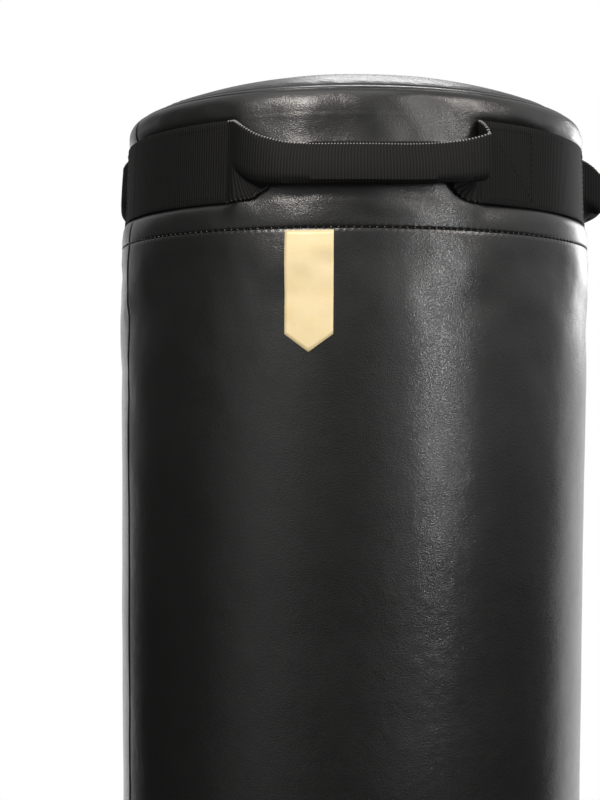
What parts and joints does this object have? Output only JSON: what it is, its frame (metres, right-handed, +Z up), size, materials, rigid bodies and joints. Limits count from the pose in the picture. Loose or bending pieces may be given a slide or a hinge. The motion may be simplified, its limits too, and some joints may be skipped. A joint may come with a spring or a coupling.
{
  "type": "free-standing punching bag",
  "caption": "Tall round padded punching bag with a webbing belt and carrying handles, on a sprung ball neck over a round water-filled base with suction cups.",
  "frame": {"origin": "centre of the base where the suction cups meet the floor", "axes": "+Z up along the bag, -Y towards the front handle and the camera side, +X to the right"},
  "size_m": [0.53, 0.53, 1.75],
  "materials": {
    "grained_pu_leather": "satin",
    "nylon_webbing": "matte",
    "gold_foil": "satin",
    "moulded_polyethylene": "satin",
    "black_rubber": "matte",
    "powder_coated_steel": "satin",
    "zinc_plated_steel": "satin",
    "turned_brass": "satin",
    "cast_urethane": "satin",
    "birch_plywood": "matte",
    "closed_cell_foam": "matte",
    "soft_top_foam": "matte",
    "ballast_water": "gloss"
  },
  "bodies": {
    "base": {"base_tank": "moulded_polyethylene", "ballast_water": "ballast_water", "suction_cup_1": "black_rubber", "suction_cup_2": "black_rubber", "suction_cup_3": "black_rubber", "suction_cup_4": "black_rubber", "suction_cup_5": "black_rubber", "suction_cup_6": "black_rubber", "suction_cup_7": "black_rubber", "suction_cup_8": "black_rubber", "threaded_insert_1": "turned_brass", "threaded_insert_2": "turned_brass", "threaded_insert_3": "turned_brass", "threaded_insert_4": "turned_brass", "base_bolt_1": "zinc_plated_steel", "base_bolt_2": "zinc_plated_steel", "base_bolt_3": "zinc_plated_steel", "base_bolt_4": "zinc_plated_steel", "lower_spring_plate": "powder_coated_steel", "lower_ball_cup": "powder_coated_steel", "neck_spring_1": "zinc_plated_steel", "neck_spring_2": "zinc_plated_steel", "neck_spring_3": "zinc_plated_steel", "neck_spring_4": "zinc_plated_steel"},
    "ball": {"pivot_ball": "cast_urethane"},
    "column": {"upper_ball_cup": "powder_coated_steel", "upper_spring_plate": "powder_coated_steel", "bag_bolt_1": "zinc_plated_steel", "bag_bolt_2": "zinc_plated_steel", "bag_bolt_3": "zinc_plated_steel", "bag_bolt_4": "zinc_plated_steel", "base_board": "birch_plywood", "tube_flange": "powder_coated_steel", "core_tube": "powder_coated_steel", "tube_plug": "moulded_polyethylene", "foam_core": "closed_cell_foam", "top_pad": "soft_top_foam", "body_panel": "grained_pu_leather", "collar_panel": "grained_pu_leather", "top_cap": "grained_pu_leather", "bottom_panel": "grained_pu_leather", "foil_stripe": "gold_foil", "belt_1": "nylon_webbing", "belt_2": "nylon_webbing", "belt_3": "nylon_webbing"},
    "cap_lift": {"cap_seal": "black_rubber"},
    "cap": {"filler_cap": "moulded_polyethylene"},
    "handle_1": {"handle_1_grip": "nylon_webbing", "handle_1_web_left": "nylon_webbing", "handle_1_web_right": "nylon_webbing"},
    "handle_2": {"handle_2_grip": "nylon_webbing", "handle_2_web_left": "nylon_webbing", "handle_2_web_right": "nylon_webbing"},
    "handle_3": {"handle_3_grip": "nylon_webbing", "handle_3_web_left": "nylon_webbing", "handle_3_web_right": "nylon_webbing"}
  },
  "joints": [
    {"name": "lean_front_back", "type": "hinge", "parent": "base", "child": "ball", "pos_m": [0, 0, 0.3563], "axis": [1, 0, 0], "range_deg": [-15, 15], "stiffness_Nm_per_rad": 1200, "deforming": ["neck_spring_1", "neck_spring_2", "neck_spring_3", "neck_spring_4"]},
    {"name": "lean_left_right", "type": "hinge", "parent": "ball", "child": "column", "pos_m": [0, 0, 0.3563], "axis": [0, 1, 0], "range_deg": [-15, 15], "stiffness_Nm_per_rad": 1200, "deforming": ["neck_spring_1", "neck_spring_2", "neck_spring_3", "neck_spring_4"]},
    {"name": "handle_1_lift", "type": "hinge", "parent": "column", "child": "handle_1", "pos_m": [0, -0.1369, 1.6778], "axis": [-1, 0, 0], "range_deg": [-15, 30], "stiffness_Nm_per_rad": 0.1, "deforming": ["handle_1_web_left", "handle_1_web_right"]},
    {"name": "handle_2_lift", "type": "hinge", "parent": "column", "child": "handle_2", "pos_m": [0.11856, 0.06845, 1.6778], "axis": [0.5, -0.866, 0], "range_deg": [-15, 30], "stiffness_Nm_per_rad": 0.1, "deforming": ["handle_2_web_left", "handle_2_web_right"]},
    {"name": "handle_3_lift", "type": "hinge", "parent": "column", "child": "handle_3", "pos_m": [-0.11856, 0.06845, 1.6778], "axis": [0.5, 0.866, 0], "range_deg": [-15, 30], "stiffness_Nm_per_rad": 0.1, "deforming": ["handle_3_web_left", "handle_3_web_right"]},
    {"name": "cap_rise", "type": "slide", "parent": "base", "child": "cap_lift", "axis": [0, 0, 1], "range_m": [0, 0.017]},
    {"name": "cap_turn", "type": "hinge", "parent": "cap_lift", "child": "cap", "pos_m": [0, 0.192, 0.3], "axis": [0, 0, 1], "range_deg": [0, 1440]}
  ],
  "couplings": [
    {"joint": "cap_rise", "follows": "cap_turn", "m_per_rad": 0.00063662}
  ]
}
